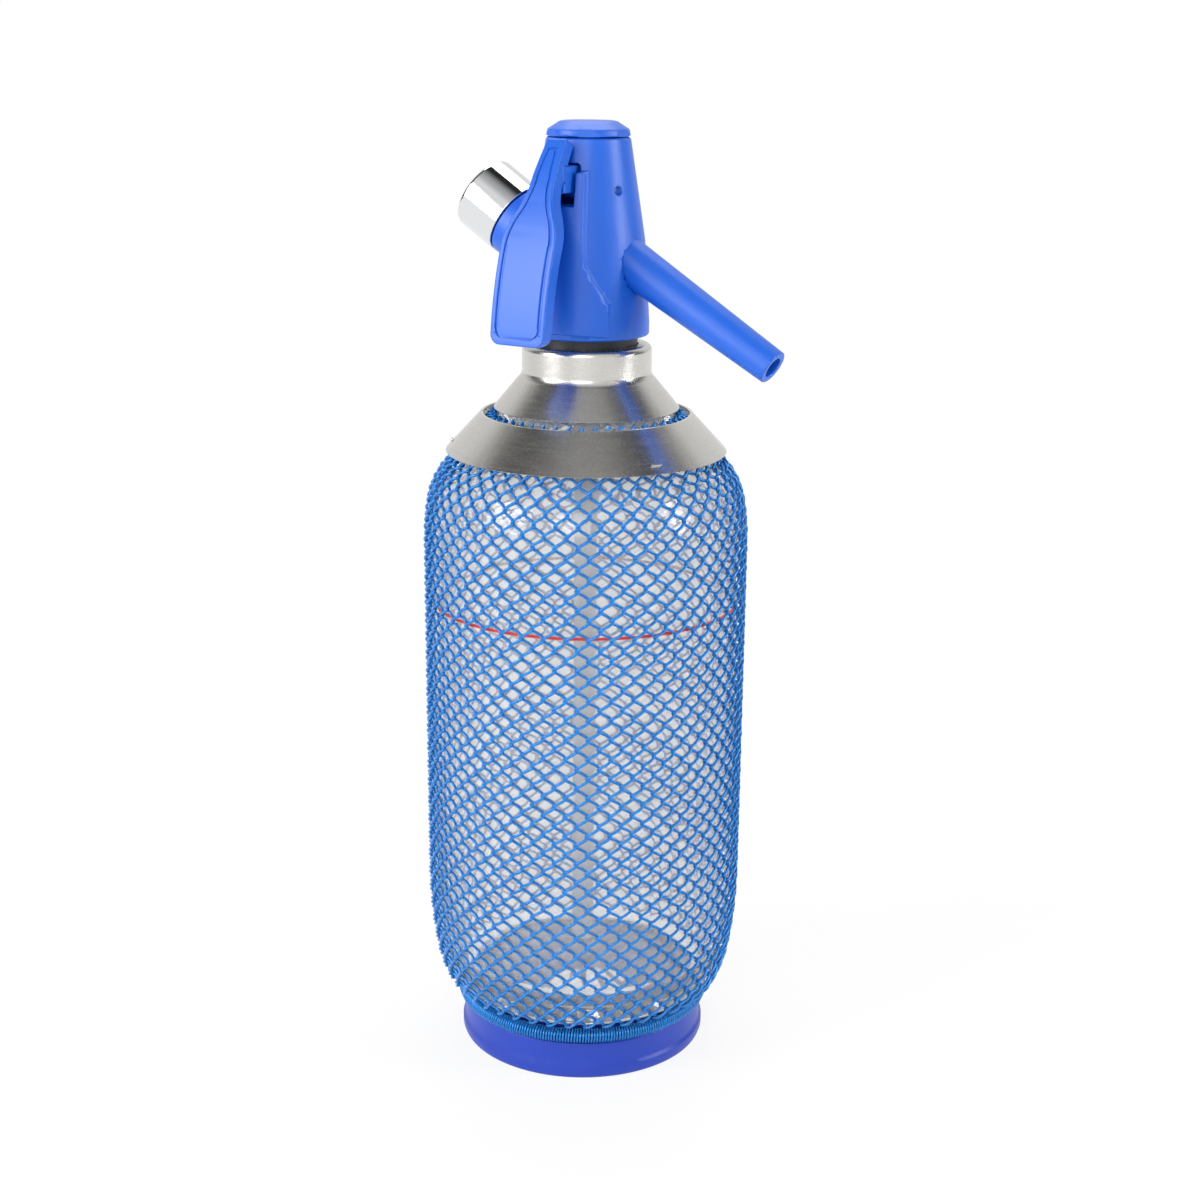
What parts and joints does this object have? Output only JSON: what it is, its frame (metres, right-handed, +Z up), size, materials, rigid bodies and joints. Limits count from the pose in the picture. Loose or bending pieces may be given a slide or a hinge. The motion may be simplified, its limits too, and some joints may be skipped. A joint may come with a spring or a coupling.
{
  "type": "soda siphon",
  "caption": "Soda siphon: glass bottle in a blue wire mesh sleeve with a plastic lever head, sloping spout and screw-off charging cap.",
  "frame": {"origin": "on the bottle's axis, in the plane that the foot stands on", "axes": "+Z up along the bottle, +X towards the spout, -X towards the charging cap, -Y towards the lever"},
  "size_m": [0.1246, 0.1084, 0.313],
  "materials": {
    "foot_plastic": "glossy moulded plastic, deep blue",
    "clear_glass": "clear blown glass with a red fill line",
    "blue_wire": "blue lacquered round wire, shiny",
    "brushed_steel": "steel sheet brushed round the axis",
    "steel_wire": "bright steel wire and pins",
    "black_plastic": "black moulded plastic",
    "seal_rubber": "black seal rubber",
    "head_plastic": "satin moulded plastic, royal blue",
    "tube_plastic": "milky plastic tube",
    "valve_metal": "turned aluminium",
    "cap_chrome": "polished chrome plate"
  },
  "bodies": {
    "bottle": {"glass_bottle": "clear_glass", "foot_ring": "foot_plastic", "mesh_sleeve": "blue_wire", "garter_spring": "blue_wire", "shoulder_collar": "brushed_steel", "collar_staples": "steel_wire", "neck_cover": "brushed_steel", "neck_thread_ring": "black_plastic"},
    "gasket": {"neck_gasket": "seal_rubber"},
    "head": {"head_housing": "head_plastic", "spout_tube": "head_plastic", "top_cap": "head_plastic", "riser_tube": "tube_plastic", "tube_holder": "tube_plastic", "valve_seat": "valve_metal", "stem_oring": "seal_rubber", "gland_nut": "valve_metal", "valve_spring": "steel_wire", "charging_nipple": "valve_metal", "check_sleeve": "seal_rubber", "piercing_pin": "steel_wire", "lever_pin": "steel_wire"},
    "valve": {"valve_stem": "valve_metal", "valve_seal": "seal_rubber", "stem_collar": "valve_metal"},
    "lever": {"lever": "head_plastic"},
    "washer": {"cap_washer": "seal_rubber"},
    "cap": {"charging_cap": "cap_chrome"}
  },
  "joints": [
    {"name": "head_lift", "type": "slide", "parent": "bottle", "child": "gasket", "axis": [0, 0, 1], "range_m": [0, 0.0075]},
    {"name": "head_unscrew", "type": "hinge", "parent": "gasket", "child": "head", "pos_m": [0, 0, 0.255], "axis": [0, 0, 1], "range_deg": [0, 900]},
    {"name": "lever_press", "type": "hinge", "parent": "head", "child": "lever", "pos_m": [0, -0.0057, 0.2921], "axis": [1, 0, 0], "range_deg": [0, 15], "stiffness_Nm_per_rad": 0.4, "springref_deg": -14.32},
    {"name": "valve_lift", "type": "slide", "parent": "head", "child": "valve", "axis": [0, 0, 1], "range_m": [0, 0.00194], "deforming": ["valve_spring"]},
    {"name": "cap_lift", "type": "slide", "parent": "head", "child": "washer", "axis": [-0.8443, 0, 0.5358], "range_m": [0, 0.006]},
    {"name": "cap_unscrew", "type": "hinge", "parent": "washer", "child": "cap", "pos_m": [-0.03833, 0, 0.28783], "axis": [-0.8443, 0, 0.5358], "range_deg": [0, 1440]}
  ],
  "couplings": [
    {"joint": "head_unscrew", "follows": "head_lift", "rad_per_m": 2094.4},
    {"joint": "lever_press", "follows": "valve_lift", "rad_per_m": 135.1},
    {"joint": "cap_unscrew", "follows": "cap_lift", "rad_per_m": 4188.8}
  ]
}
